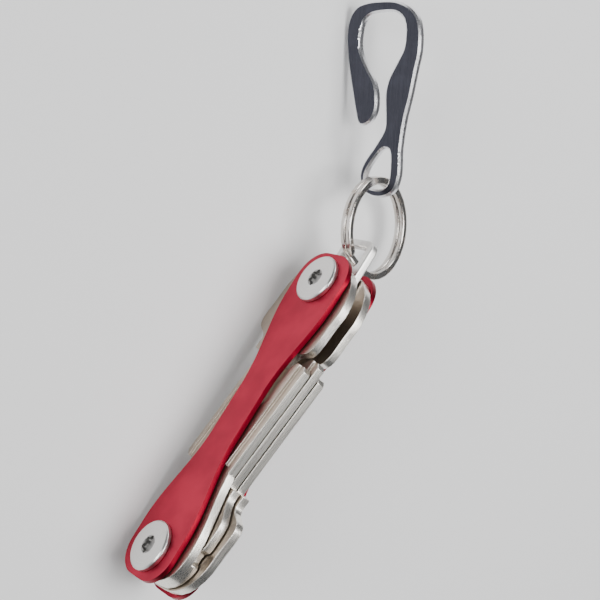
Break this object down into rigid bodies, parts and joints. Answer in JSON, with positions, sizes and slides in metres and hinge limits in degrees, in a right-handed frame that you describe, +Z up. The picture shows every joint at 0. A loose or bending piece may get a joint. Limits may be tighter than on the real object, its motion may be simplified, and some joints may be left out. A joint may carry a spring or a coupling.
{
  "type": "key organiser",
  "caption": "Slim key organiser with red dog-bone plates, house keys fanned between two screw posts, and a split ring with a flat belt hook.",
  "frame": {"origin": "centre of the bounding box at its base, on the surface that the organiser stands on", "axes": "+Z up from the surface, +X from the far post to the ring and hook, +Y out of the front plate"},
  "size_m": [0.1386, 0.0424, 0.0256],
  "materials": {
    "red_anodised": "satin red anodised",
    "satin_steel": "satin",
    "key_nickel_silver": "satin, worn bright on the edges",
    "ring_nickel": "polished nickel",
    "dark_steel": "dark polished with bright bevels",
    "nylon": "matt"
  },
  "bodies": {
    "case": {"front_plate": "red_anodised", "rear_plate": "red_anodised", "front_screw_loop_end": "satin_steel", "rear_post_loop_end": "satin_steel", "washer_loop_end_1": "nylon", "washer_loop_end_2": "nylon", "washer_loop_end_3": "nylon", "washer_loop_end_4": "nylon", "front_screw_far_end": "satin_steel", "rear_post_far_end": "satin_steel", "washer_far_end_1": "nylon", "washer_far_end_2": "nylon", "washer_far_end_3": "nylon", "washer_far_end_4": "nylon"},
    "key_loop_end_1": {"key_loop_end_1": "key_nickel_silver"},
    "key_loop_end_2": {"key_loop_end_2": "key_nickel_silver"},
    "key_far_end_1": {"key_far_end_1": "key_nickel_silver"},
    "key_far_end_2": {"key_far_end_2": "key_nickel_silver"},
    "key_far_end_3": {"key_far_end_3": "key_nickel_silver"},
    "loop": {"loop_piece": "satin_steel"},
    "ring": {"split_ring": "ring_nickel"},
    "hook": {"hook": "dark_steel"}
  },
  "joints": [
    {"name": "open_loop_end_1", "type": "hinge", "parent": "case", "child": "key_loop_end_1", "pos_m": [0.00575, -0.00053, 0.01428], "axis": [0, 1, 0], "range_deg": [-44, 0]},
    {"name": "open_loop_end_2", "type": "hinge", "parent": "case", "child": "key_loop_end_2", "pos_m": [0.00575, -0.00053, 0.01428], "axis": [0, 1, 0], "range_deg": [-27, 0]},
    {"name": "open_far_end_1", "type": "hinge", "parent": "case", "child": "key_far_end_1", "pos_m": [-0.06218, -0.00053, 0.01111], "axis": [0, 1, 0], "range_deg": [-180, 0]},
    {"name": "open_far_end_2", "type": "hinge", "parent": "case", "child": "key_far_end_2", "pos_m": [-0.06218, -0.00053, 0.01111], "axis": [0, 1, 0], "range_deg": [-180, 0]},
    {"name": "open_far_end_3", "type": "hinge", "parent": "case", "child": "key_far_end_3", "pos_m": [-0.06218, -0.00053, 0.01111], "axis": [0, 1, 0], "range_deg": [-180, 0]},
    {"name": "loop_swing", "type": "hinge", "parent": "case", "child": "loop", "pos_m": [0.00575, -0.00053, 0.01428], "axis": [0, 1, 0], "range_deg": [-22, 5]},
    {"name": "ring_swing", "type": "hinge", "parent": "loop", "child": "ring", "pos_m": [0.01556, -0.00508, 0.01297], "axis": [0.4301, 0.8862, 0.1724], "range_deg": [-30, 12]},
    {"name": "hook_swing", "type": "hinge", "parent": "ring", "child": "hook", "pos_m": [0.03478, -0.0032, 0.0102], "axis": [-0.5251, 0.7925, 0.3101], "range_deg": [-140, 140]}
  ]
}
